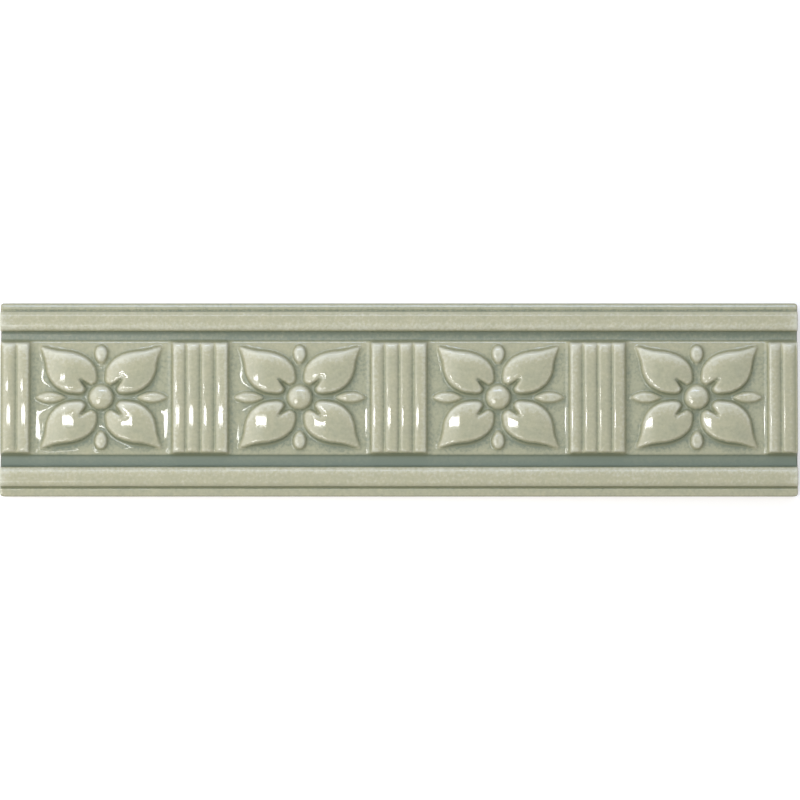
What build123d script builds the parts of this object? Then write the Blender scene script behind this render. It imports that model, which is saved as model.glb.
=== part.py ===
from build123d import *
import math
import os

# A relief border tile: one pressed, glazed and fired ceramic strip, lying on its back.
# X runs along the strip, Y across it, and Z up out of the glazed face.
# The origin is the middle of the back. Sizes are in millimetres, and heights are above the back.

# Outline of the strip
tile_length = 198.0
tile_width = 48.0
corner_radius = 0.8

# Moulded section, from each long edge inwards: bead, quirk, rail, channel, then the frieze
bead_width = 1.45
bead_height = 8.0
bead_fall = 0.35
bead_round = 0.6
bead_inner_round = 0.35
quirk_width = 1.05
quirk_floor = 7.2
quirk_round = 0.15
rail_width = 4.3
rail_height = 9.2
rail_round = 0.9
channel_width = 3.3
channel_wall_run = 0.55
channel_floor = 5.9
channel_round = 0.8
frieze_height = 7.0
frieze_round = 0.3

# Repeat of the frieze: flowers, with a group of reeds between each two and half a group at each end.
# The flowers sit a little above the middle of the frieze.
flower_count = 4
flower_pitch = 49.3
flower_lift = 0.6

# Reeds, the upright bars across the frieze, wider at the foot by their moulding draft
reeds_in_group = 4
reed_spacing = 3.6
reed_width = 3.1
reed_top_width = 2.2
reed_height = 8.7
reed_round = 0.6
reed_end_margin = 0.15
reed_end_round = 0.9

# Flower: four cleft petals that reach for the corners, with a sepal in each gap and a button
flower_reach_x = 15.4
flower_reach_y = 12.8
petal_height = 9.0
petal_crown_radius = 30.0
petal_top_size = 0.78
button_radius = 3.3
button_height = 9.15
side_sepal_start = 9.0
side_sepal_end = 16.4
side_sepal_girth = 3.0
side_sepal_height = 8.25
top_sepal_start = 8.3
top_sepal_end = 12.7
top_sepal_belly = 11.2
top_sepal_girth = 3.8
top_sepal_height = 8.4
top_sepal_end_round = 2.6

# One side of a petal's outline, from the tip to the lobe beside the cleft, then the cleft's point.
# Each pair is a share of the flower's reach along X and Y, and the other side swaps the two.
petal_tip = (1.0, 1.0)
petal_side = [(0.94, 0.75), (0.92, 0.48), (0.82, 0.26), (0.64, 0.11), (0.44, 0.075), (0.285, 0.16)]
petal_cleft = (0.42, 0.42)
petal_middle = (0.58, 0.58)

# Key slots pressed into the back, for the bedding adhesive
key_count = 6
key_spacing = 7.2
key_width = 3.0
key_depth = 0.7
key_end_margin = 6.0

# Ornament is sunk this far into the frieze, so that it is one piece with the body
root_depth = 0.5
ornament_foot = frieze_height - root_depth


def moulded_body():
    """The strip's section, drawn for one half, mirrored, and run along X."""
    edge = tile_width / 2
    bead_inside = edge - bead_width
    rail_outside = bead_inside - quirk_width
    rail_inside = rail_outside - rail_width
    frieze_edge = rail_inside - channel_width
    corners = [
        (edge, bead_height - bead_fall, bead_round),
        (bead_inside, bead_height, bead_inner_round),
        (bead_inside - quirk_width / 2, quirk_floor, quirk_round),
        (rail_outside, rail_height, rail_round),
        (rail_inside, rail_height, rail_round),
        (rail_inside - channel_wall_run, channel_floor, channel_round),
        (frieze_edge + channel_wall_run, channel_floor, channel_round),
        (frieze_edge, frieze_height, frieze_round),
    ]
    top = FilletPolyline(
        [(edge, 0), *[(y, z) for y, z, _ in corners], (0, frieze_height)],
        radius=[r for _, _, r in corners],
    )
    half = make_face([*top.edges(), *Polyline((0, frieze_height), (0, 0), (edge, 0)).edges()])
    section = half + mirror(half, about=Plane.YZ)
    strip = extrude(Plane.YZ * section, amount=tile_length / 2, both=True)
    outline = extrude(RectangleRounded(tile_length, tile_width, corner_radius), amount=rail_height)
    return strip & outline, frieze_edge


def reed(frieze_edge):
    """One upright bar across the frieze: an arched section along Y, with rounded ends."""
    foot = ornament_foot
    half, top = reed_width / 2, reed_top_width / 2
    arch = FilletPolyline([(-half, foot), (-top, reed_height), (top, reed_height), (half, foot)],
                          radius=[reed_round, reed_round])
    arch_face = make_face([*arch.edges(), Line((half, foot), (-half, foot)).edge()])
    bar = extrude(Plane.XZ * arch_face, amount=frieze_edge, both=True)
    end = frieze_edge - reed_end_margin
    side = FilletPolyline([(-end, foot), (-end, reed_height), (end, reed_height), (end, foot)],
                          radius=[reed_end_round, reed_end_round])
    side_face = make_face([*side.edges(), Line((end, foot), (-end, foot)).edge()])
    return bar & extrude(Plane.YZ * side_face, amount=reed_width, both=True)


def reed_places():
    """X of every reed: a whole group between two flowers, and at each end what fits on the tile."""
    groups = [(g - flower_count / 2) * flower_pitch for g in range(flower_count + 1)]
    steps = [(k - (reeds_in_group - 1) / 2) * reed_spacing for k in range(reeds_in_group)]
    limit = (tile_length - reed_width) / 2
    return [g + s for g in groups for s in steps if abs(g + s) < limit]


def petal_outline(size, height):
    """The cleft outline at a height, shrunk by size about the petal's middle."""
    def place(share):
        x, y = [m + (s - m) * size for s, m in zip(share, petal_middle)]
        return (x * flower_reach_x, y * flower_reach_y)

    side = [petal_tip, *petal_side]
    lower = [place(share) for share in side]
    upper = [place((b, a)) for a, b in side]
    outline = make_face([
        Spline(lower).edge(),
        Line(lower[-1], place(petal_cleft)).edge(),
        Line(place(petal_cleft), upper[-1]).edge(),
        Spline(upper).edge(),
    ])
    return Pos(0, 0, height) * outline


def ball(radius, x, y, z):
    """A sphere with its poles towards the sides of the strip, where the relief doesn't use them."""
    return Pos(x, y, z) * Rot(90, 0, 0) * Sphere(radius)


def cap_radius(half_width, rise):
    """Radius of the arc that rises by rise over a chord of twice half_width."""
    return (half_width**2 + rise**2) / (2 * rise)


def rooted(solid):
    """What a solid has above the foot of the ornament."""
    slab = extrude(Rectangle(tile_length, tile_width), amount=rail_height)
    return solid & (Pos(0, 0, ornament_foot) * slab)


def petal():
    """The petal that points to +X +Y: a cleft outline with moulding draft, under a domed crown."""
    foot = petal_outline(1.0, ornament_foot)
    block = loft([foot, petal_outline(petal_top_size, petal_height)], ruled=True)
    x, y = petal_middle[0] * flower_reach_x, petal_middle[1] * flower_reach_y
    return block & ball(petal_crown_radius, x, y, petal_height - petal_crown_radius)


def button():
    """The domed boss in the flower's middle."""
    radius = cap_radius(button_radius, button_height - frieze_height)
    return rooted(ball(radius, 0, 0, button_height - radius))


def keeled_leaf(start, end, girth, height):
    """A leaf along +X, pointed at both ends and keeled along its back: what two balls have in common."""
    half_length = (end - start) / 2
    keel = cap_radius(half_length, height - frieze_height)
    aside = (half_length**2 - (girth / 2)**2) / girth
    x, z = (start + end) / 2, height - keel
    radius = math.hypot(keel, aside)
    return rooted(ball(radius, x, -aside, z) & ball(radius, x, aside, z))


def side_sepal():
    """The sepal that points to +X."""
    return keeled_leaf(side_sepal_start, side_sepal_end, side_sepal_girth, side_sepal_height)


def top_sepal():
    """The sepal that points to +Y: a leaf as far as its belly, then blunt at its outer end."""
    leaf_end = 2 * top_sepal_belly - top_sepal_start
    leaf = keeled_leaf(top_sepal_start, leaf_end, top_sepal_girth, top_sepal_height)
    blunt = ball(top_sepal_end_round, top_sepal_end - top_sepal_end_round, 0, frieze_height)
    return Rot(0, 0, 90) * (leaf & blunt)


def flower():
    """Every raised piece of one flower, about the flower's own axis."""
    one = petal()
    pair = [one, mirror(one, about=Plane.YZ)]
    petals = [*pair, *[mirror(p, about=Plane.XZ) for p in pair]]
    side = side_sepal()
    top = top_sepal()
    sepals = [side, mirror(side, about=Plane.YZ), top, mirror(top, about=Plane.XZ)]
    return [*petals, *sepals, button()]


def key_slots():
    """The shallow slots in the back, which stop short of the ends."""
    slot = SlotOverall(tile_length - 2 * key_end_margin, key_width)
    places = [Pos(0, (k - (key_count - 1) / 2) * key_spacing) for k in range(key_count)]
    return [extrude(place * slot, amount=key_depth) for place in places]


def border_tile():
    body, frieze_edge = moulded_body()
    one_reed = reed(frieze_edge)
    reeds = [Pos(x, 0, 0) * one_reed for x in reed_places()]
    centres = [(f - (flower_count - 1) / 2) * flower_pitch for f in range(flower_count)]
    one_flower = flower()
    flowers = [Pos(x, flower_lift, 0) * piece for x in centres for piece in one_flower]
    return body.fuse(*reeds, *flowers).cut(*key_slots())


os.makedirs("parts", exist_ok=True)
tile = border_tile()
export_step(tile, "parts/border_tile.step")
print("border_tile", "solids", len(tile.solids()), "faces", len(tile.faces()), "volume", round(tile.volume))
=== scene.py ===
import bpy
import numpy as np
from math import cos, radians, sin
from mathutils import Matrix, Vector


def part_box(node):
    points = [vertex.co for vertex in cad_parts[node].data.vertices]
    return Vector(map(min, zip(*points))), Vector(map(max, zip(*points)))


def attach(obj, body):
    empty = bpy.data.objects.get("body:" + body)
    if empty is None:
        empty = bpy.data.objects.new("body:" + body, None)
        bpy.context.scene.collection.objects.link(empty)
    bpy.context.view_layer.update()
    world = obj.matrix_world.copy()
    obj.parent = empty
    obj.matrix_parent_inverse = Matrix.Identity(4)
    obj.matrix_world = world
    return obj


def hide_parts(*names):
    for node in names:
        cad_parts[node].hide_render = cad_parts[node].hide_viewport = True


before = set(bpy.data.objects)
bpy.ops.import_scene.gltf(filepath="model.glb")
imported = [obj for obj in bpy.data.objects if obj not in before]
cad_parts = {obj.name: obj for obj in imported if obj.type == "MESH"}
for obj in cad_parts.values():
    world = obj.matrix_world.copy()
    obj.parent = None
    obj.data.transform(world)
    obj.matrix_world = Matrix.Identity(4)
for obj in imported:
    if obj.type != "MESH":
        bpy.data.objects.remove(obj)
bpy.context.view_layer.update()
lowCorner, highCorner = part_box("border_tile")
mm = 0.001  # forms are worked out in millimetres, Blender takes metres
tiny = 1e-9  # keeps divisions away from zero
tileLength = (highCorner.x - lowCorner.x) / mm
tileWidth = (highCorner.y - lowCorner.y) / mm
tileHeight = (highCorner.z - lowCorner.z) / mm
print("frame loaded, tile", round(tileLength, 2), round(tileWidth, 2), round(tileHeight, 2), "mm")


def softLower(a, b, blend):
    # the lower of two heights, with the crease between them rounded over about blend
    gap = np.clip(0.5 + 0.5 * (b - a) / blend, 0, 1)
    return b + (a - b) * gap - blend * gap * (1 - gap)


def soften(field, spread, step, outside=None):
    # bell-shaped average: each frequency f is damped by exp(-2 pi^2 spread^2 f^2)
    # past the border the field is mirrored, or has the height given as outside
    margin = 5 * spread  # the bell has died away there
    pad = int(margin / step) + 2
    if outside is None:
        wide = np.pad(field, pad, mode="reflect")
    else:
        wide = np.pad(field, pad, mode="constant", constant_values=outside)
    fx = np.fft.fftfreq(wide.shape[0], step)[:, None]
    fy = np.fft.rfftfreq(wide.shape[1], step)[None, :]
    damp = np.exp(-2 * (np.pi * spread) ** 2 * (fx ** 2 + fy ** 2))
    return np.fft.irfft2(np.fft.rfft2(wide) * damp, wide.shape)[pad:-pad, pad:-pad]


# moulded section of the pressed clay, from each long edge inwards, heights above the back
moulding = {
    "beadWidth": 1.68, "beadHeight": 8.0, "beadFall": 0.33, "beadRound": 0.6, "beadInnerRound": 0.35,
    "quirkWidth": 0.82, "quirkFloor": 7.4, "quirkRound": 0.15,
    "railWidth": 4.45, "railHeight": tileHeight, "railRound": 1.4, "railInnerRound": 1.4,
    "channelWidth": 3.08, "channelWallRun": 0.35, "channelFloor": 6.3, "channelRound": 0.7,
    "friezeHeight": 7.0, "friezeRound": 0.6, "friezeRun": 0.6, "friezeFall": 0.12, "friezeFallRun": 1.4,
    "beadLift": 0.14, "railLift": 0.2, "friezeLift": 0.5,  # they all sit a little high on the strip
    "endRound": 0.45,
}


def roundedRun(corners, steps=33):
    # straight runs between corners (across, height, radius), each corner an arc that touches both runs:
    # (1-s)^2 a + 2 s (1-s) w p + s^2 b over the same sum without points, w the cosine of half the turn
    s = np.linspace(0, 1, steps)[:, None]
    run = [np.array([corners[0][:2]], float)]
    for before, at, after in zip(corners[:-2], corners[1:-1], corners[2:]):
        p = np.array(at[:2], float)
        back = np.array(before[:2]) - p
        ahead = np.array(after[:2]) - p
        back, ahead = back / np.hypot(*back), ahead / np.hypot(*ahead)
        halfTurn = (np.pi - np.arccos(np.clip(back @ ahead, -1, 1))) / 2
        touch = at[2] * np.tan(halfTurn)
        a, b = p + back * touch, p + ahead * touch
        middle = 2 * s * (1 - s) * np.cos(halfTurn)
        arc = (1 - s) ** 2 * a + middle * p + s ** 2 * b
        run.append(arc / ((1 - s) ** 2 + middle + s ** 2))
    run.append(np.array([corners[-1][:2]], float))
    return np.vstack(run)


def friezeEdge(side):
    # from the middle of the strip to the frieze's upper (side 1) or lower (side -1) edge
    m = moulding
    taken = m["beadWidth"] + m["quirkWidth"] + m["railWidth"] + m["channelWidth"]
    return tileWidth / 2 - taken + side * m["friezeLift"]


def sectionRun(side):
    # upper (side 1) or lower (side -1) half of the section, from the middle to the edge
    m = moulding
    edge = tileWidth / 2
    bead = edge - m["beadWidth"] + side * m["beadLift"]
    railOut = edge - m["beadWidth"] - m["quirkWidth"] + side * m["railLift"]
    railIn = railOut - m["railWidth"]
    frieze = friezeEdge(side)
    run = roundedRun([
        (edge, 0),
        (edge, m["beadHeight"] - m["beadFall"], m["beadRound"]),
        (bead, m["beadHeight"], m["beadInnerRound"]),
        ((bead + railOut) / 2, m["quirkFloor"], m["quirkRound"]),
        (railOut, m["railHeight"], m["railRound"]),
        (railIn, m["railHeight"], m["railInnerRound"]),
        (railIn - m["channelWallRun"], m["channelFloor"], m["channelRound"]),
        (frieze + m["friezeRun"], m["channelFloor"], m["friezeRound"]),
        (frieze, m["friezeHeight"] - m["friezeFall"], m["friezeRound"]),
        (frieze - m["friezeFallRun"], m["friezeHeight"], m["friezeRound"]),
        (0, m["friezeHeight"]),
    ])[1:][::-1]
    return run[:, 0], run[:, 1]


def mouldingHeight(y):
    # the run of the upper or the lower half, read at each distance from the middle
    return np.where(y > 0, np.interp(y, *sectionRun(1)), np.interp(-y, *sectionRun(-1)))


def friezeInside(y):
    # distance inside the frieze from its nearer long edge
    return np.where(y > 0, friezeEdge(1) - y, friezeEdge(-1) + y)


# reeds between the flowers
reeds = {
    "inGroup": 4, "spacing": 3.6, "width": 3.4, "height": 8.6,
    "crest": 0.25, "lean": 0.3, "leanTurn": 2.4, "crownRadii": (10.0, 1.8),
    "grooveHeight": 0.75, "grooveSlope": 2.1, "flank": 3.6, "endSlope": 3.0, "blend": 0.3,
    "footRise": 0.35, "footRun": 0.7, "furrowDepth": 0.16, "furrowOut": 1.15, "furrowWidth": 0.6,
}
flowers = {"count": 4, "pitch": 49.3, "lift": 0.6}  # they sit a little above the middle


def reedHeight(x, y):
    # across: the lower of a crowned back and the flanks of a V groove, steeper outside
    # along: the lower of that and a slope at each end
    r = reeds
    # offset from the nearest reed: fold x on the groups, then on the reeds of a group
    group = x / flowers["pitch"] + flowers["count"] / 2
    fromGroup = (group - np.round(group)) * flowers["pitch"]
    half = r["inGroup"] / 2
    nearest = (np.clip(np.floor(np.abs(fromGroup) / r["spacing"]), 0, half - 1) + 0.5) * r["spacing"]
    offset = fromGroup - np.sign(fromGroup) * nearest
    # each crest strays a little from its axis, by the sine of the reed's own place
    crest = r["crest"] + r["lean"] * np.sin(r["leanTurn"] * (x - offset))
    radius = np.where(offset < crest, *r["crownRadii"])
    rise = r["height"] - moulding["friezeHeight"]
    back = rise - (offset - crest) ** 2 / (2 * radius)
    aside = np.abs(offset)
    groove = r["grooveHeight"] + (r["spacing"] / 2 - aside) * r["grooveSlope"]
    outer = np.abs(fromGroup) > (half - 0.5) * r["spacing"]
    flank = np.where(outer, (r["width"] / 2 - aside) * r["flank"], groove)
    # the bed of a group runs out into the field in a falling curve, with a furrow in it
    outside = np.clip(np.abs(fromGroup) - (nearest + r["width"] / 2), 0, None)
    bed = r["footRise"] * np.exp(-outside / r["footRun"])
    bed = bed - r["furrowDepth"] * np.exp(-((outside - r["furrowOut"]) / r["furrowWidth"]) ** 2)
    across = np.maximum(softLower(back, flank, r["blend"]), bed)
    return softLower(across, friezeInside(y) * r["endSlope"], r["blend"])


# one flower: cleft petals, sepals and button, about its own middle
petals = {
    "reach": (14.8, 12.4),
    # one side as shares of the reach, from the tip to the lobe beside the cleft
    "tip": (1.0, 1.0),
    "side": [(0.93, 0.75), (0.89, 0.48), (0.79, 0.265), (0.62, 0.125), (0.44, 0.085),
             (0.315, 0.095), (0.265, 0.165)],
    "cleft": (0.365, 0.375), "sideSteps": 40,
    "height": 9.0, "crownMiddle": (7.5, 7.25), "crownRadii": (20.0, 750.0),
    "wallSlope": 3.0, "wallOut": 0.4, "blend": 0.5,
    "veinDepth": 0.05, "veinWidth": 0.5, "veinEnd": 0.44,
}
sepals = {
    "sideStart": 8.6, "sideEnd": 16.6, "sideGirth": 2.8, "sideHeight": 8.25,
    "topStart": 8.2, "topEnd": 12.9, "topBelly": 10.9, "topGirth": 3.3, "topHeight": 8.4,
    "thinnest": 0.001,
}
button = {
    "radius": 3.3, "height": 9.05, "crownRadius": 6.3, "wallSlope": 2.5, "blend": 0.8,
    "moatDepth": 0.3, "moatReach": 5.5,
}


def throughPoints(points, count):
    # smooth curve through points: piecewise cubics with Catmull-Rom slopes, evenly sampled
    p = np.array(points, float)
    p = np.vstack([2 * p[0] - p[1], p, 2 * p[-1] - p[-2]])
    t = np.linspace(0, len(points) - 1 - tiny, count)
    k = t.astype(int)
    f = (t - k)[:, None]
    a, b, c, d = p[k], p[k + 1], p[k + 2], p[k + 3]
    square = 2 * a - 5 * b + 4 * c - d
    cube = 3 * b - a - 3 * c + d
    return 0.5 * (2 * b + (c - a) * f + square * f ** 2 + cube * f ** 3)


def petalOutline():
    # one side from the tip to the lobe, the cleft's point, and the same side mirrored in the diagonal
    side = throughPoints([petals["tip"], *petals["side"]], petals["sideSteps"])
    loop = np.vstack([side, [petals["cleft"]], side[::-1, ::-1]])
    return loop * np.array(petals["reach"])


def insideDistance(x, y, outline):
    # distance to the nearest edge of the outline, positive inside it and negative outside
    nearest = np.full(x.shape, np.inf)
    inside = np.zeros(x.shape, bool)
    for (ax, ay), (bx, by) in zip(outline, np.roll(outline, -1, axis=0)):
        ex, ey = bx - ax, by - ay
        t = np.clip(((x - ax) * ex + (y - ay) * ey) / max(ex ** 2 + ey ** 2, tiny), 0, 1)
        nearest = np.minimum(nearest, (x - ax - t * ex) ** 2 + (y - ay - t * ey) ** 2)
        crosses = (ay > y) != (by > y)
        inside ^= crosses & (x < ax + (y - ay) * ex / (ey if abs(ey) > tiny else tiny))
    return np.where(inside, 1, -1) * np.sqrt(nearest)


def petalHeight(u, v):
    # the lower of a gentle crown and a steep wall round the outline, less a shallow vein from the cleft
    p = petals
    mx, my = p["crownMiddle"]
    rx, ry = p["crownRadii"]
    rise = p["height"] - moulding["friezeHeight"]
    crown = rise - (u - mx) ** 2 / (2 * rx) - (v - my) ** 2 / (2 * ry)
    wall = (insideDistance(u, v, petalOutline()) + p["wallOut"]) * p["wallSlope"]
    along = (u / p["reach"][0] + v / p["reach"][1]) / 2
    aside = (u / p["reach"][0] - v / p["reach"][1]) / 2 * np.mean(p["reach"])
    fade = np.clip((p["veinEnd"] - along) / (p["veinEnd"] - p["cleft"][0]), 0, 1)
    vein = p["veinDepth"] * fade * np.exp(-(aside / p["veinWidth"]) ** 2)
    return softLower(crown, wall, p["blend"]) - vein


def leafHeight(along, aside, start, end, girth, height, belly=None):
    # flattened leaf: half its width follows an arc, with a belly given a quarter ellipse past it,
    # and its height across follows the square root of 1 - share^4
    half = girth / 2
    widest = (start + end) / 2 if belly is None else belly
    bow = ((widest - start) ** 2 + half ** 2) / (2 * half)
    width = np.sqrt(np.clip(bow ** 2 - (along - widest) ** 2, 0, None)) - (bow - half)
    if belly is not None:
        blunt = half * np.sqrt(np.clip(1 - ((along - belly) / (end - belly)) ** 2, 0, 1))
        width = np.where(along < belly, width, blunt)
    width = np.clip(width, sepals["thinnest"], None)
    ridge = (height - moulding["friezeHeight"]) * np.sqrt(width / half)
    across = np.sqrt(np.clip(1 - (aside / width) ** 4, 0, 1))
    return np.where((along > start) & (along < end), ridge * across, 0)


def buttonHeight(fromMiddle):
    # the lower of a round crown and a steep wall
    b = button
    crown = b["height"] - moulding["friezeHeight"] - fromMiddle ** 2 / (2 * b["crownRadius"])
    return softLower(crown, (b["radius"] - fromMiddle) * b["wallSlope"], b["blend"])


def flowerHeight(x, y):
    # fold every flower onto one quarter, then take the highest of petal, sepals and button
    u = np.abs((x / flowers["pitch"] + flowers["count"] / 2) % 1 - 0.5) * flowers["pitch"]
    v = np.abs(y - flowers["lift"])
    s = sepals
    side = leafHeight(u, v, s["sideStart"], s["sideEnd"], s["sideGirth"], s["sideHeight"])
    top = leafHeight(v, u, s["topStart"], s["topEnd"], s["topGirth"], s["topHeight"], s["topBelly"])
    fromMiddle = np.hypot(u, v)
    moat = -button["moatDepth"] * np.exp(-(fromMiddle / button["moatReach"]) ** 2)
    ground = np.where(side > 0, side, moat)
    return np.maximum.reduce([petalHeight(u, v), ground, top + moat, buttonHeight(fromMiddle)])


# glaze over the clay: how it softens edges, fills hollows and is measured for its colour
glaze = {
    "step": 0.1, "skin": 0.2, "poolReach": 1.2, "poolShare": 0.25,
    # the far measure given to the walls is set deep so that they are darker: painted shade
    "nearReach": 0.45, "farReach": 1.7, "outside": 7.4, "wallShadeDepth": 0.7,
    "run": (0.2, 1.5),  # how much deeper the colour is made to the right of and below raised forms, and paler to their left and above
    "channelFade": 0.3, "upperChannel": 0.5,
}


def tileRasters():
    # what the glazed face has above its section, and the depth of the glaze, on an even raster
    g = glaze
    step = g["step"]
    xs = np.arange(-tileLength / 2, tileLength / 2 + step / 2, step)
    ys = np.arange(-tileWidth / 2, tileWidth / 2 + step / 2, step)
    x, y = np.meshgrid(xs, ys, indexing="ij")
    ornament = np.maximum(reedHeight(x, y), flowerHeight(x, y))
    ornament = np.where(friezeInside(y) > 0, ornament, 0)
    section = np.broadcast_to(mouldingHeight(ys), ornament.shape)
    clay = section + ornament
    skin = soften(ornament, g["skin"], step)
    pool = np.clip(soften(clay, g["poolReach"], step) - clay, 0, None)
    relief = skin + g["poolShare"] * soften(pool, g["skin"], step)
    # the ends turn down in a quarter round
    turn = moulding["endRound"]
    fromEnd = np.clip(tileLength / 2 - np.abs(xs), 0, turn)
    relief = relief - (turn - np.sqrt(turn ** 2 - (turn - fromEnd) ** 2))[:, None]
    # near by, glaze is thin on ridges and deep in hollows; of the section only the lower bead and quirk count
    dip = soften(section, g["nearReach"], step, g["outside"]) - section
    lowerRail = moulding["beadWidth"] + moulding["quirkWidth"] - tileWidth / 2
    near = np.where(ys < lowerRail, dip, 0) + soften(ornament, g["nearReach"], step) - skin
    # further off, it is made deeper to the right of and below raised forms, and paler to their left and above
    slopeX, slopeY = np.gradient(soften(ornament, g["farReach"], step), step)
    far = soften(clay, g["farReach"], step, g["outside"]) - section - skin
    far = far + g["run"][1] * slopeY - g["run"][0] * slopeX
    print("relief worked out on", clay.shape, "points")
    return xs, ys, relief, near, far


def channelShare(y):
    # 1 on the floor of the lower channel, less in the upper one, 0 where the section is up at the frieze
    drop = moulding["friezeHeight"] - moulding["friezeFall"] - mouldingHeight(y)
    return np.clip(drop / glaze["channelFade"], 0, 1) * np.where(y > 0, glaze["upperChannel"], 1)


def crowdedLines(position, bend, count, evenShare):
    # lines at equal steps of the running sum of evenness plus bend, so they crowd where the relief turns
    weight = evenShare + (1 - evenShare) * bend / bend.mean()
    total = np.concatenate([[0], np.cumsum((weight[1:] + weight[:-1]) / 2)])
    return np.interp(np.linspace(0, total[-1], count), total, position)


def readRaster(field, xs, ys, x, y):
    # straight-line mix of the four raster points round each place
    inside = 1.001  # stays short of the last raster line
    fx = np.clip((x - xs[0]) / (xs[1] - xs[0]), 0, len(xs) - inside)
    fy = np.clip((y - ys[0]) / (ys[1] - ys[0]), 0, len(ys) - inside)
    i, j = fx.astype(int), fy.astype(int)
    a, b = fx - i, fy - j
    low = field[i, j] * (1 - a) + field[i + 1, j] * a
    high = field[i, j + 1] * (1 - a) + field[i + 1, j + 1] * a
    return low * (1 - b) + high * b


tileMesh = {
    "linesAlong": 600, "linesAcross": 142, "evenAlong": 0.6, "evenAcross": 0.45,
    "railSteps": 9601, "flatWithin": 1e-6, "nudge": 0.01,
    "cornerRadius": 0.8, "wallSteps": [0.2, 0.45, 0.7, 0.9], "arris": 0.3,
}
keySlots = {
    "count": 6, "spacing": 7.2, "width": 3.0, "depth": 0.7, "endMargin": 6.0, "wallShare": 0.2,
    "edgeMargin": 1.0, "endSteps": 7, "middleSteps": 7, "tipHalf": 0.1,
}


def faceLines(xs, ys, glazed):
    # crowded lines along and across, and one at each edge of the rails' flat backs, so no bend leaks there
    m = tileMesh
    bendX = np.abs(np.gradient(np.gradient(glazed, axis=0), axis=0)).mean(1)
    bendY = np.abs(np.gradient(np.gradient(glazed, axis=1), axis=1)).mean(0)
    lineX = crowdedLines(xs, bendX, m["linesAlong"], m["evenAlong"])
    lineY = crowdedLines(ys, bendY, m["linesAcross"], m["evenAcross"])
    fineY = np.linspace(-tileWidth / 2, tileWidth / 2, m["railSteps"])
    isFlat = mouldingHeight(fineY) > tileHeight - m["flatWithin"]
    railEdges = fineY[:-1][isFlat[:-1] != isFlat[1:]]
    return lineX, np.sort(np.concatenate([lineY, railEdges]))


def faceNormals(slopeX, reliefSlopeY, lineY):
    # minus the slopes of section and relief, and 1, made unit long
    nudge = tileMesh["nudge"]
    sectionSlope = (mouldingHeight(lineY + nudge) - mouldingHeight(lineY - nudge)) / (2 * nudge)
    normals = np.stack([-slopeX, -(reliefSlopeY + sectionSlope), np.ones_like(slopeX)], -1).reshape(-1, 3)
    return normals / np.linalg.norm(normals, axis=1, keepdims=True)


def roundCorners(x, y, radius):
    # in each corner square, rings of the square become rings of a quarter disc
    ax, ay = tileLength / 2 - radius, tileWidth / 2 - radius
    u = np.clip((np.abs(x) - ax) / radius, 0, None)
    v = np.clip((np.abs(y) - ay) / radius, 0, None)
    both = (u > tiny) & (v > tiny)
    scale = np.where(both, np.maximum(u, v) / np.maximum(np.hypot(u, v), tiny), 1)
    newX = np.where(both, np.sign(x) * (ax + u * scale * radius), x)
    newY = np.where(both, np.sign(y) * (ay + v * scale * radius), y)
    return newX, newY


def ringOrder(nx, ny):
    # indices of a grid's border, anticlockwise from its low corner
    index = np.arange(nx * ny).reshape(nx, ny)
    return np.concatenate([index[:, 0], index[-1, 1:], index[-2::-1, -1], index[0, -2:0:-1]])


def faceGrid(z, nx, ny):
    # two triangles a square, cut along the diagonal whose ends are nearer in height
    index = np.arange(nx * ny).reshape(nx, ny)
    a, b = index[:-1, :-1].ravel(), index[1:, :-1].ravel()
    c, d = index[1:, 1:].ravel(), index[:-1, 1:].ravel()
    flat = z.ravel()
    first = (np.abs(flat[a] - flat[c]) <= np.abs(flat[b] - flat[d]))[:, None]
    one = np.where(first, np.stack([a, b, c], 1), np.stack([a, b, d], 1))
    two = np.where(first, np.stack([a, c, d], 1), np.stack([b, c, d], 1))
    return np.vstack([one, two])


def wallRings(border):
    # the border carried down by shares of its height, to the bottom arris, and in under it
    arris = tileMesh["arris"]
    rings = [border * [1, 1, 1 - share] for share in tileMesh["wallSteps"]]
    aboveArris = border * [1, 1, 0] + [0, 0, arris]
    underArris = border * [1 - 2 * arris / tileLength, 1 - 2 * arris / tileWidth, 0]
    return [*rings, aboveArris, underArris]


def backGrid():
    # lands and key slots of the back: lines along X follow the slots' sides and round ends
    k = keySlots
    half = k["width"] / 2
    tip = tileLength / 2 - k["endMargin"]
    endX = tip - half + half * np.sin(np.linspace(0, np.pi / 2, k["endSteps"]))
    middle = np.linspace(-(tip - half), tip - half, k["middleSteps"])[1:-1]
    border = tileLength / 2 - k["edgeMargin"]
    xLines = np.concatenate([[-border], -endX[::-1], middle, endX, [border]])
    past = np.clip(np.abs(xLines) - (tip - half), 0, half)
    width = np.sqrt(np.clip(half ** 2 - past ** 2, k["tipHalf"] ** 2, None))
    depth = np.where(np.abs(xLines) < tip - tiny, k["depth"], 0)
    share = np.array([-1, -1 + k["wallShare"], 1 - k["wallShare"], 1])
    sunk = np.array([0, 1, 1, 0])
    centres = (np.arange(k["count"]) - (k["count"] - 1) / 2) * k["spacing"]
    slotY = centres[None, :, None] + share[None, None, :] * width[:, None, None]
    slotZ = np.tile(depth[:, None] * sunk[None, :], (1, k["count"]))
    rim = np.full((len(xLines), 1), tileWidth / 2 - k["edgeMargin"])
    y = np.hstack([-rim, slotY.reshape(len(xLines), -1), rim])
    z = np.hstack([rim * 0, slotZ, rim * 0])
    x = np.broadcast_to(xLines[:, None], y.shape)
    return np.stack([x, y, z], -1)


def coarseSplit(fine, coarse):
    # for each coarse line the number of the nearest fine line, with the ends kept
    at = np.abs(fine[:, None] - coarse[None, :]).argmin(0)
    at[0], at[-1] = 0, len(fine) - 1
    return at


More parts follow.
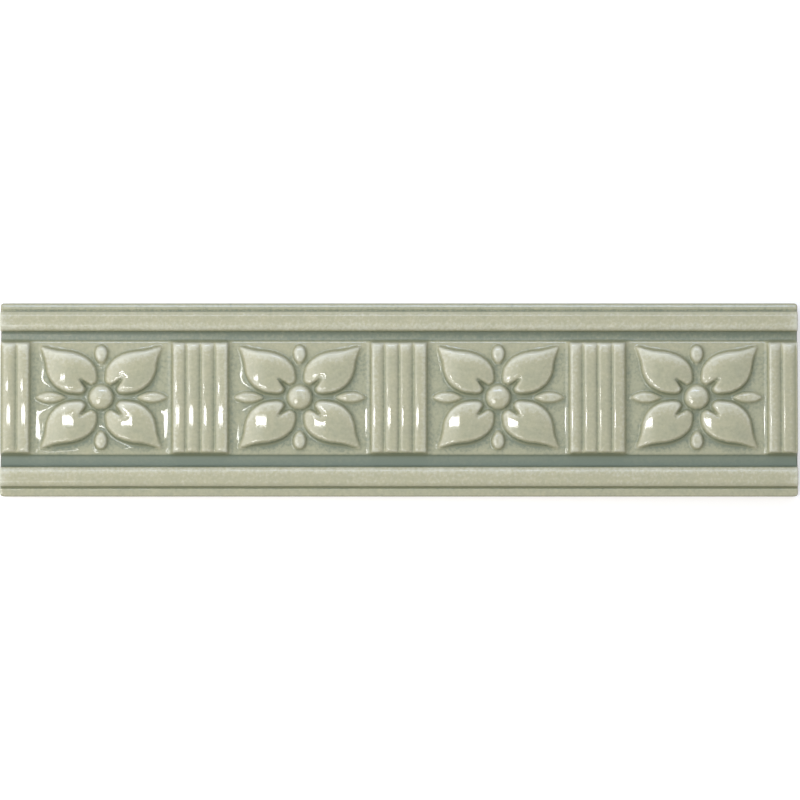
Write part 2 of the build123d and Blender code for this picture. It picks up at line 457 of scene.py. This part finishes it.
def backStrips(lineX, lineY, back, bottomRing, base):
    # many-sided faces from the coarse border of the back to the stretch of the fine ring beside each side
    nx, ny = len(lineX), len(lineY)
    splitX = coarseSplit(lineX, back[:, 0, 0])
    splitY = coarseSplit(lineY, back[0, :, 1])
    corners = np.concatenate([
        splitX,
        nx - 1 + splitY[1:],
        nx + ny - 2 + (nx - 1 - splitX[::-1])[1:],
        2 * nx + ny - 3 + (ny - 1 - splitY[::-1])[1:],
    ])
    inner = (ringOrder(*back.shape[:2]) + base).tolist()
    strips = []
    for k, (start, end) in enumerate(zip(corners[:-1], corners[1:])):
        outer = bottomRing[np.arange(start, end + 1) % len(bottomRing)]
        strips.append([*outer[::-1].tolist(), inner[k], inner[(k + 1) % len(inner)]])
    return strips


def buildTile():
    # one closed mesh: the glazed face, rings of wall under its border, and the back
    xs, ys, relief, near, far = tileRasters()
    lineX, lineY = faceLines(xs, ys, relief + mouldingHeight(ys))
    nx, ny = len(lineX), len(lineY)
    x, y = np.meshgrid(lineX, lineY, indexing="ij")

    def read(field):
        return readRaster(field, xs, ys, x, y)

    # glazed face
    z = np.minimum(mouldingHeight(lineY) + read(relief), tileHeight)
    top = np.stack([*roundCorners(x, y, tileMesh["cornerRadius"]), z], -1).reshape(-1, 3)
    topFaces = faceGrid(z, nx, ny)
    # walls, ring by ring
    ring = ringOrder(nx, ny)
    n = len(ring)
    rings = wallRings(top[ring])
    levels = [ring] + [len(top) + n * k + np.arange(n) for k in range(len(rings))]
    pairs = zip(levels[:-1], levels[1:])
    walls = np.vstack([np.stack([a, b, np.roll(b, -1), np.roll(a, -1)], 1) for a, b in pairs])
    # back: its own coarse grid, joined to the fine bottom ring by strips
    back = backGrid()
    base = len(top) + n * len(rings)
    index = base + np.arange(back.shape[0] * back.shape[1]).reshape(back.shape[:2])
    squares = [index[:-1, :-1], index[:-1, 1:], index[1:, 1:], index[1:, :-1]]
    backFaces = np.stack(squares, -1).reshape(-1, 4)
    strips = backStrips(lineX, lineY, back, levels[-1], base)
    points = np.vstack([top, *rings, back.reshape(-1, 3)]) * mm
    faces = [*topFaces.tolist(), *walls.tolist(), *backFaces.tolist(), *strips]
    mesh = bpy.data.meshes.new("tileBody")
    mesh.from_pydata(points.tolist(), [], faces)
    mesh.polygons.foreach_set("use_smooth", np.arange(len(faces)) < len(topFaces) + len(walls))
    # measures of the glaze for its colour, on the face and elsewhere; the walls get a deep far measure, which
    # is painted shade
    others = len(points) - len(top)
    layers = {
        "glazeNear": (read(near), 0.0),
        # on the walls the far measure is set deep, so they read dark: painted shade
        "glazeFarAndWallShade": (read(far), glaze["wallShadeDepth"]),
        "inChannel": (np.broadcast_to(channelShare(lineY), z.shape), 0.0),
    }
    for name, (onFace, elsewhere) in layers.items():
        values = np.concatenate([onFace.ravel(), np.full(others, elsewhere)])
        layer = mesh.attributes.new(name, "FLOAT", "POINT")
        layer.data.foreach_set("value", values.astype(np.float32))
    mesh.validate()
    # corners on the glazed face take its normals, a zero leaves those of the walls and the back their own
    slopeX, slopeY = np.gradient(relief, glaze["step"])
    normals = np.vstack([faceNormals(read(slopeX), read(slopeY), lineY), np.zeros((others, 3))])
    corner = np.empty(len(mesh.loops), dtype=np.int32)
    mesh.loops.foreach_get("vertex_index", corner)
    mesh.normals_split_custom_set(normals[corner].tolist())
    mesh.update()
    piece = bpy.data.objects.new("borderTile", mesh)
    bpy.context.scene.collection.objects.link(piece)
    print("tile mesh", len(points), "points", len(faces), "faces")
    return piece


def linear(r, g, b):
    # colour written in 0 to 255 display steps, turned to scene values
    c = np.array([r, g, b]) / 255
    c = np.where(c <= 0.04045, c / 12.92, ((c + 0.055) / 1.055) ** 2.4)
    return (*[float(v) for v in c], 1.0)


def addNode(tree, kind, **settings):
    # a node with its sockets or its own properties set
    node = tree.nodes.new(kind)
    for name, value in settings.items():
        if name in node.inputs:
            node.inputs[name].default_value = value
        else:
            setattr(node, name, value)
    return node


def setOrLink(tree, socket, value):
    # a number or a colour is written on the socket, an output is linked to it
    if isinstance(value, (int, float, tuple)):
        socket.default_value = value
    else:
        tree.links.new(value, socket)


def mathNode(tree, operation, a, b):
    # one step of arithmetic on outputs or numbers
    node = addNode(tree, "ShaderNodeMath", operation=operation)
    setOrLink(tree, node.inputs[0], a)
    setOrLink(tree, node.inputs[1], b)
    return node.outputs[0]


def clampNode(tree, value, most=1.0):
    # value held between 0 and most
    node = addNode(tree, "ShaderNodeClamp", Max=most)
    tree.links.new(value, node.inputs["Value"])
    return node.outputs["Result"]


def mixColor(tree, factor, a, b):
    # a, turning to b as factor goes from 0 to 1
    node = addNode(tree, "ShaderNodeMix", data_type="RGBA")
    for slot, value in ((0, factor), (6, a), (7, b)):  # where a colour mix has its factor and its colours
        setOrLink(tree, node.inputs[slot], value)
    return node.outputs[2]


# noises are scale, detail and roughness
sageGlaze = {
    "thin": linear(210, 208, 186), "plain": linear(184, 179, 147), "pooled": linear(166, 165, 135),
    "deep": linear(115, 124, 104), "plainAt": 0.32, "pooledAt": 0.62, "deepAt": 0.95,
    "middle": 0.51, "thinShare": 1.0, "poolShare": 0.6, "farShare": 0.42,
    "cloud": (160.0, 3.0, 0.55), "cloudShare": 0.2, "fleck": (1300.0, 4.0, 0.55), "fleckShare": 0.65,
    "cool": linear(120, 132, 124), "coolPatch": (520.0, 3.0, 0.55), "coolShare": 0.3,
    "sunk": linear(98, 110, 95), "sunkShare": 0.8, "sunkHaze": 0.5,
    # olive of the creases: deeper glaze, and painted shade in gaps, grooves and under the petals
    "creasePoolAndShade": linear(132, 131, 97), "creasePoolAndShadeShare": 2.4, "creasePoolAndShadeMost": 0.65,
    "ior": 1.52, "roughness": 0.03, "hazeFrom": 0.06, "hollowHaze": 2.5,
    "ripple": (420.0, 2.0, 0.55), "rippleHeight": 0.000001, "rippleStrength": 0.5,
}
bareClay = {
    "pale": linear(214, 199, 176), "dark": linear(188, 168, 142), "grain": (1400.0, 5.0, 0.7),
    "roughness": 0.85, "pitShare": 3.0,
    "glazeLine": 2.0, "lineFade": 0.25, "lineSway": 3.5, "sway": (70.0, 2.0, 0.55),
}


def glazeMaterial():
    # glossy glaze above a swaying line, bare matt clay below it and on the back
    g, c = sageGlaze, bareClay
    material = bpy.data.materials.new("sageGlaze")
    material.use_nodes = True
    tree = material.node_tree
    shader = tree.nodes["Principled BSDF"]
    place = addNode(tree, "ShaderNodeTexCoord").outputs["Object"]

    def calc(operation, a, b):
        return mathNode(tree, operation, a, b)

    def noise(scale, detail, roughness):
        node = addNode(tree, "ShaderNodeTexNoise", Scale=scale, Detail=detail, Roughness=roughness)
        tree.links.new(place, node.inputs["Vector"])
        return node.outputs["Fac"]

    def measure(name):
        return addNode(tree, "ShaderNodeAttribute", attribute_name=name).outputs["Fac"]

    near, far, sunk = measure("glazeNear"), measure("glazeFarAndWallShade"), measure("inChannel")
    # depth of glaze from the near and the far measure, with slow clouds and fine flecks
    depth = calc("ADD", calc("MULTIPLY", far, g["farShare"]), g["middle"])
    depth = calc("ADD", depth, calc("MULTIPLY", calc("MINIMUM", near, 0.0), g["thinShare"]))
    depth = calc("ADD", depth, calc("MULTIPLY", calc("MAXIMUM", near, 0.0), g["poolShare"]))
    for pattern, share in ((g["cloud"], g["cloudShare"]), (g["fleck"], g["fleckShare"])):
        depth = calc("ADD", depth, calc("MULTIPLY", calc("SUBTRACT", noise(*pattern), 0.5), share))
    ramp = addNode(tree, "ShaderNodeValToRGB")
    tree.links.new(depth, ramp.inputs["Fac"])
    stops = ramp.color_ramp.elements
    stops[0].position, stops[0].color = 0.0, g["thin"]
    stops[1].position, stops[1].color = g["deepAt"], g["deep"]
    stops.new(g["plainAt"]).color = g["plain"]
    stops.new(g["pooledAt"]).color = g["pooled"]
    # cool patches, darker channels, olive creases that are deeper glaze and painted shade
    patch = calc("MULTIPLY", noise(*g["coolPatch"]), g["coolShare"])
    coat = mixColor(tree, patch, ramp.outputs["Color"], g["cool"])
    coat = mixColor(tree, calc("MULTIPLY", sunk, g["sunkShare"]), coat, g["sunk"])
    # painted shade and deeper glaze: olive in gaps, grooves and along the feet of raised forms
    creasePoolAndShade = clampNode(tree, calc("MULTIPLY", near, g["creasePoolAndShadeShare"]), g["creasePoolAndShadeMost"])
    coat = mixColor(tree, creasePoolAndShade, coat, g["creasePoolAndShade"])
    # bare clay below the swaying glaze line and on the back
    height = addNode(tree, "ShaderNodeSeparateXYZ")
    tree.links.new(place, height.inputs["Vector"])
    lowest = (c["glazeLine"] - c["lineSway"] / 2) * mm
    line = calc("ADD", calc("MULTIPLY", noise(*c["sway"]), c["lineSway"] * mm), lowest)
    above = calc("DIVIDE", calc("SUBTRACT", height.outputs["Z"], line), c["lineFade"] * mm)
    glazedHere = clampNode(tree, above)
    grain = noise(*c["grain"])
    clay = mixColor(tree, grain, c["pale"], c["dark"])
    tree.links.new(mixColor(tree, glazedHere, clay, coat), shader.inputs["Base Color"])
    # the glaze is duller in hollows and channels
    hollow = calc("MAXIMUM", calc("SUBTRACT", near, g["hazeFrom"]), 0.0)
    haze = calc("ADD", calc("MULTIPLY", hollow, g["hollowHaze"]), calc("MULTIPLY", sunk, g["sunkHaze"]))
    lessThanClay = calc("SUBTRACT", calc("ADD", haze, g["roughness"]), c["roughness"])
    roughness = calc("ADD", calc("MULTIPLY", glazedHere, lessThanClay), c["roughness"])
    tree.links.new(roughness, shader.inputs["Roughness"])
    shader.inputs["IOR"].default_value = g["ior"]
    # soft ripple of the glaze, pits of the clay
    ripple = calc("MULTIPLY", noise(*g["ripple"]), glazedHere)
    pits = calc("MULTIPLY", calc("MULTIPLY", grain, calc("SUBTRACT", 1.0, glazedHere)), c["pitShare"])
    bump = addNode(tree, "ShaderNodeBump", Strength=g["rippleStrength"], Distance=g["rippleHeight"])
    tree.links.new(calc("ADD", ripple, pits), bump.inputs["Height"])
    tree.links.new(bump.outputs["Normal"], shader.inputs["Normal"])
    return material


tile = buildTile()
tile.data.materials.append(glazeMaterial())
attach(tile, "root")
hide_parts("border_tile")
print("tile dressed")

# studio in metres and watts, the camera's aim in millimetres and degrees
studio = {
    "floorSize": 3.0, "floorTone": 0.8, "floorLift": 0.4, "skyFill": 0.41,
    "lens": 200.0, "sensor": 36.0, "clip": (0.01, 10.0),
    "frameWidth": 198.4, "aimX": 0.25, "aimY": -0.12, "aimHeight": 8.6, "tilt": 2.5,
    "keyPlace": (-0.74, 0.08, 0.95), "keySizes": [0.4, 0.65, 0.9, 1.15, 1.4],
    "keyApart": 0.02, "keyPower": 7.05,
    "topPlace": (0.0, 0.9, 0.25), "topSize": (1.2, 0.3), "topPower": 0.7, "topColor": (0.86, 0.93, 1.0),
    "windowPlace": (-0.42, -0.41, 1.2), "windowSize": (0.3, 0.3), "windowPower": 2.6,
    # strips that face down: middle, length and width, power, turn from X in degrees
    "glints": [
        {"place": (-0.148, 0.0152, 0.476), "size": (0.135, 0.0060), "power": 0.06, "turn": -0.5},
        {"place": (-0.215, 0.0259, 0.476), "size": (0.06, 0.0030), "power": 0.013},
        {"place": (-0.385, -0.163, 0.476), "size": (0.55, 0.012), "power": 0.35, "turn": 203.0},
        {"place": (-0.31, -0.28, 0.476), "size": (0.55, 0.012), "power": 0.2, "turn": 222.0},
        {"place": (0.0, 0.31, 0.476), "size": (0.4, 0.10), "power": 1.1, "color": (0.6, 0.72, 1.0)},
    ],
}


def cameraRays(tree):
    # 1 for rays that see the scene straight, by mirror or through glass
    path = addNode(tree, "ShaderNodeLightPath")
    seen = mathNode(tree, "MAXIMUM", path.outputs["Is Camera Ray"], path.outputs["Is Glossy Ray"])
    return mathNode(tree, "MAXIMUM", seen, path.outputs["Is Transmission Ray"])


def buildFloor():
    # matt and pale, lifted to white where it is seen
    half = studio["floorSize"] / 2
    corners = [(-half, -half, 0), (half, -half, 0), (half, half, 0), (-half, half, 0)]
    mesh = bpy.data.meshes.new("studioFloor")
    mesh.from_pydata(corners, [], [(0, 1, 2, 3)])
    floor = bpy.data.objects.new("studioFloor", mesh)
    bpy.context.scene.collection.objects.link(floor)
    material = bpy.data.materials.new("whiteFloor")
    material.use_nodes = True
    tree = material.node_tree
    tree.nodes.remove(tree.nodes["Principled BSDF"])
    tone = studio["floorTone"]
    matt = addNode(tree, "ShaderNodeBsdfDiffuse", Color=(tone, tone, tone, 1))
    lift = addNode(tree, "ShaderNodeEmission", Strength=studio["floorLift"])
    both = addNode(tree, "ShaderNodeAddShader")
    choose = addNode(tree, "ShaderNodeMixShader")
    tree.links.new(matt.outputs[0], both.inputs[0])
    tree.links.new(lift.outputs[0], both.inputs[1])
    tree.links.new(cameraRays(tree), choose.inputs[0])
    tree.links.new(matt.outputs[0], choose.inputs[1])
    tree.links.new(both.outputs[0], choose.inputs[2])
    tree.links.new(choose.outputs[0], tree.nodes["Material Output"].inputs["Surface"])
    mesh.materials.append(material)


def buildSky():
    # white where it is seen, dimmer as a light
    world = bpy.data.worlds.new("studioSky")
    bpy.context.scene.world = world
    world.use_nodes = True
    tree = world.node_tree
    sky = tree.nodes["Background"]
    sky.inputs["Color"].default_value = (1, 1, 1, 1)
    fill = studio["skyFill"]
    strength = mathNode(tree, "ADD", mathNode(tree, "MULTIPLY", cameraRays(tree), 1 - fill), fill)
    tree.links.new(strength, sky.inputs["Strength"])


def addLamp(name, place, size, power, color=(1, 1, 1), turn=None):
    # an area lamp, aimed at the origin, or facing straight down with its length turned from X
    data = bpy.data.lights.new(name, "AREA")
    data.shape = "RECTANGLE"
    data.size, data.size_y = size
    data.energy = power
    data.color = color
    lamp = bpy.data.objects.new(name, data)
    bpy.context.scene.collection.objects.link(lamp)
    lamp.location = place
    lamp.visible_camera = False
    if turn is None:
        lamp.rotation_euler = (-lamp.location).to_track_quat("-Z", "Y").to_euler()
    else:
        lamp.rotation_euler = (0, 0, radians(turn))


def buildLamps():
    s = studio
    # the key is panels of one brightness, one behind the other, so that it fades to its rim
    keyArea = sum(size ** 2 for size in s["keySizes"])
    for number, size in enumerate(s["keySizes"]):
        place = [c * (1 + s["keyApart"] * number) for c in s["keyPlace"]]
        addLamp(f"keyLamp{number}", place, (size, size), s["keyPower"] * size ** 2 / keyArea)
    addLamp("windowLamp", s["windowPlace"], s["windowSize"], s["windowPower"])
    addLamp("topLamp", s["topPlace"], s["topSize"], s["topPower"], s["topColor"])
    for number, glint in enumerate(s["glints"]):
        color, turn = glint.get("color", (1, 1, 1)), glint.get("turn", 0.0)
        addLamp(f"glintLamp{number}", glint["place"], glint["size"], glint["power"], color, turn)


def buildCamera():
    # far enough off for frameWidth to fill the picture, tilted a little so that it looks from below
    s = studio
    data = bpy.data.cameras.new("camera")
    data.type = "PERSP"
    data.lens = s["lens"]
    data.sensor_width = s["sensor"]
    data.clip_start, data.clip_end = s["clip"]
    camera = bpy.data.objects.new("camera", data)
    bpy.context.scene.collection.objects.link(camera)
    away = s["frameWidth"] * s["lens"] / s["sensor"]
    tilt = radians(s["tilt"])
    camera.rotation_euler = (tilt, 0, 0)
    fromY, fromZ = s["aimY"] - away * sin(tilt), s["aimHeight"] + away * cos(tilt)
    camera.location = (s["aimX"] * mm, fromY * mm, fromZ * mm)
    bpy.context.scene.camera = camera


buildFloor()
buildSky()
buildLamps()
buildCamera()
bpy.context.scene.view_settings.view_transform = "Standard"
print("studio ready")
